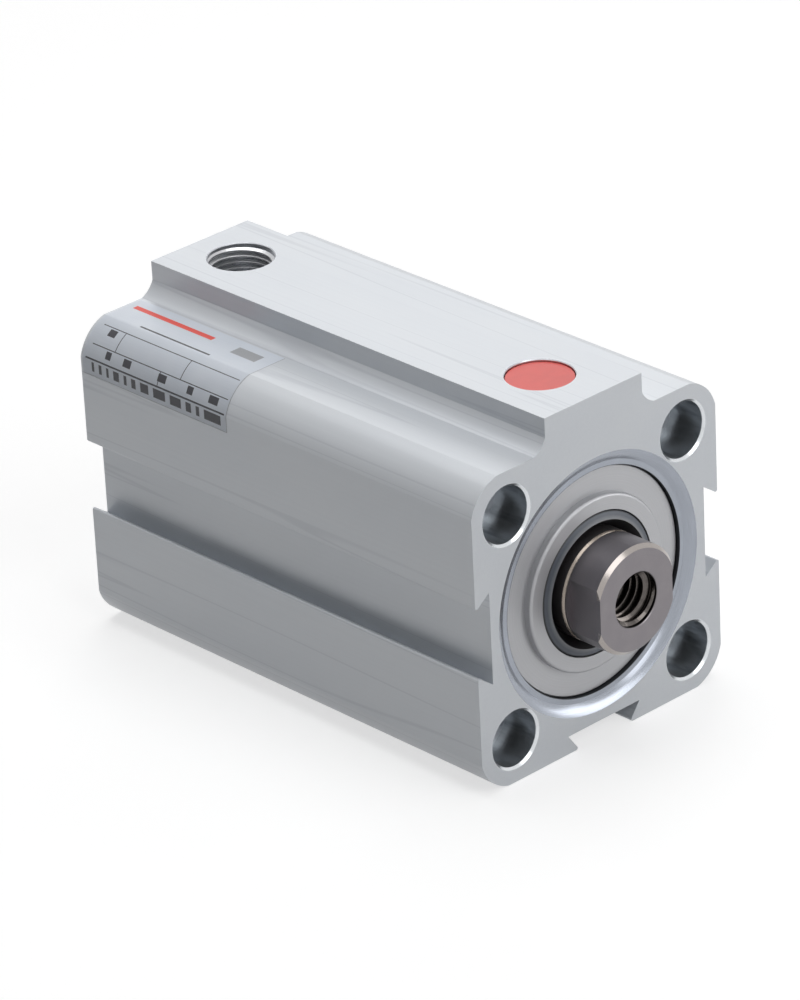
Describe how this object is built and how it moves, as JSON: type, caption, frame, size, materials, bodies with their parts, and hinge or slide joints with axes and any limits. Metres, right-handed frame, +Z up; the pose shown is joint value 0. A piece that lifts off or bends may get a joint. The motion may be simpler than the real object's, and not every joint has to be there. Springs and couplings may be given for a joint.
{
  "type": "compact pneumatic cylinder",
  "caption": "Compact pneumatic cylinder: square extruded barrel with a port rail and dovetail sensor grooves, and a steel rod with a threaded end and wrench flats.",
  "frame": {"origin": "centre of the four corner holes on the barrel's front face, on the rod's axis", "axes": "+Z up, towards the port rail; +Y along the barrel from the front face to the rear, so the rod points along -Y; +X across the front face"},
  "size_m": [0.047, 0.0856, 0.052],
  "materials": {
    "anodised_barrel": "drawn and matt natural anodised, with fine lengthwise lines",
    "turned_cover": "fine turned, natural anodised",
    "black_rubber": "smooth",
    "spring_wire": "drawn spring wire",
    "wiper_elastomer": "satin",
    "seal_elastomer": "satin",
    "bronze_bush": "sintered, oiled",
    "bumper_elastomer": "matt",
    "red_plastic": "moulded, slightly glossy",
    "rod_steel": "ground and turned, with polished chamfers",
    "piston_alloy": "turned",
    "magnet": "bonded ferrite, matt",
    "guide_plastic": "moulded",
    "screw_steel": "black oxide"
  },
  "bodies": {
    "cylinder_body": {"barrel": "anodised_barrel", "front_cover": "turned_cover", "front_cover_o_ring": "black_rubber", "front_retaining_ring": "spring_wire", "wiper_ring": "wiper_elastomer", "rod_seal": "seal_elastomer", "rod_bushing": "bronze_bush", "front_bumper": "bumper_elastomer", "rear_cover": "turned_cover", "rear_cover_o_ring": "black_rubber", "rear_retaining_ring": "spring_wire", "rear_bumper": "bumper_elastomer", "front_port_plug": "red_plastic"},
    "piston_seals": {"front_piston_seal": "seal_elastomer", "rear_piston_seal": "seal_elastomer", "piston_guide_ring": "guide_plastic"},
    "rod_and_piston": {"piston_rod": "rod_steel", "piston_front_half": "piston_alloy", "piston_rear_half": "piston_alloy", "piston_magnet": "magnet", "piston_rod_o_ring": "black_rubber", "piston_screw": "screw_steel"}
  },
  "joints": [
    {"name": "rod_slide", "type": "slide", "parent": "cylinder_body", "child": "piston_seals", "axis": [0, -1, 0], "range_m": [0, 0.04]},
    {"name": "rod_spin", "type": "hinge", "parent": "piston_seals", "child": "rod_and_piston", "pos_m": [0, 0.06, 0], "axis": [0, -1, 0], "continuous": true}
  ]
}
